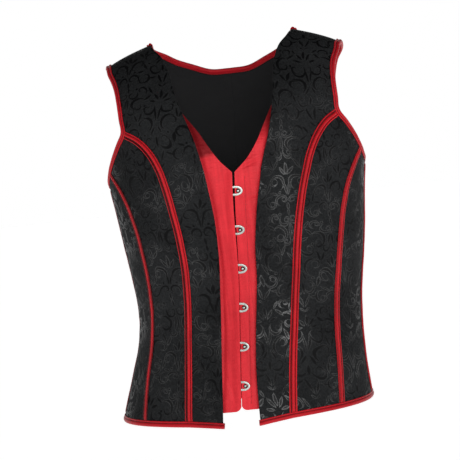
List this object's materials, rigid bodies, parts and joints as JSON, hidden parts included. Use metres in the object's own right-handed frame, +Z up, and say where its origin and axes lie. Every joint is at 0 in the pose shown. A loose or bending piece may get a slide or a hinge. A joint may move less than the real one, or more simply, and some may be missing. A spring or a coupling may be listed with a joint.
{
  "type": "corset vest",
  "caption": "Sleeveless corset vest in black brocade over red satin fronts closed by a steel busk, with red boned seam casings and bound edges, hollow as worn.",
  "frame": {"origin": "midway between the two neck points, on top of the shoulders, where the wearer carries the vest", "axes": "+Z up along the wearer's trunk, front of the vest towards -Y, +X to the wearer's left"},
  "size_m": [0.4094, 0.2449, 0.5816],
  "materials": {
    "brocade": "black woven damask brocade, matt ground with slightly shinier scroll and flower figures",
    "red_satin": "smooth red satin with a soft sheen",
    "red_trim": "padded and folded red satin casing and binding with topstitched edges",
    "busk_steel": "pale plated busk steel, smooth and slightly dulled"
  },
  "bodies": {
    "root": {"front_left": "brocade", "side_front_left": "brocade", "side_left": "brocade", "side_back_left": "brocade", "back_left": "brocade", "under_front_left": "red_satin", "princess_casing_left": "red_trim", "side_front_casing_left": "red_trim", "side_casing_left": "red_trim", "armhole_binding_left": "red_trim", "hem_binding_left": "red_trim", "front_right": "brocade", "side_front_right": "brocade", "side_right": "brocade", "side_back_right": "brocade", "back_right": "brocade", "under_front_right": "red_satin", "princess_casing_right": "red_trim", "side_front_casing_right": "red_trim", "side_casing_right": "red_trim", "armhole_binding_right": "red_trim", "hem_binding_right": "red_trim", "neck_binding": "red_trim", "busk_loop_1": "busk_steel", "busk_post_1": "busk_steel", "busk_loop_2": "busk_steel", "busk_post_2": "busk_steel", "busk_loop_3": "busk_steel", "busk_post_3": "busk_steel", "busk_loop_4": "busk_steel", "busk_post_4": "busk_steel", "busk_loop_5": "busk_steel", "busk_post_5": "busk_steel", "busk_loop_6": "busk_steel", "busk_post_6": "busk_steel"}
  },
  "joints": []
}
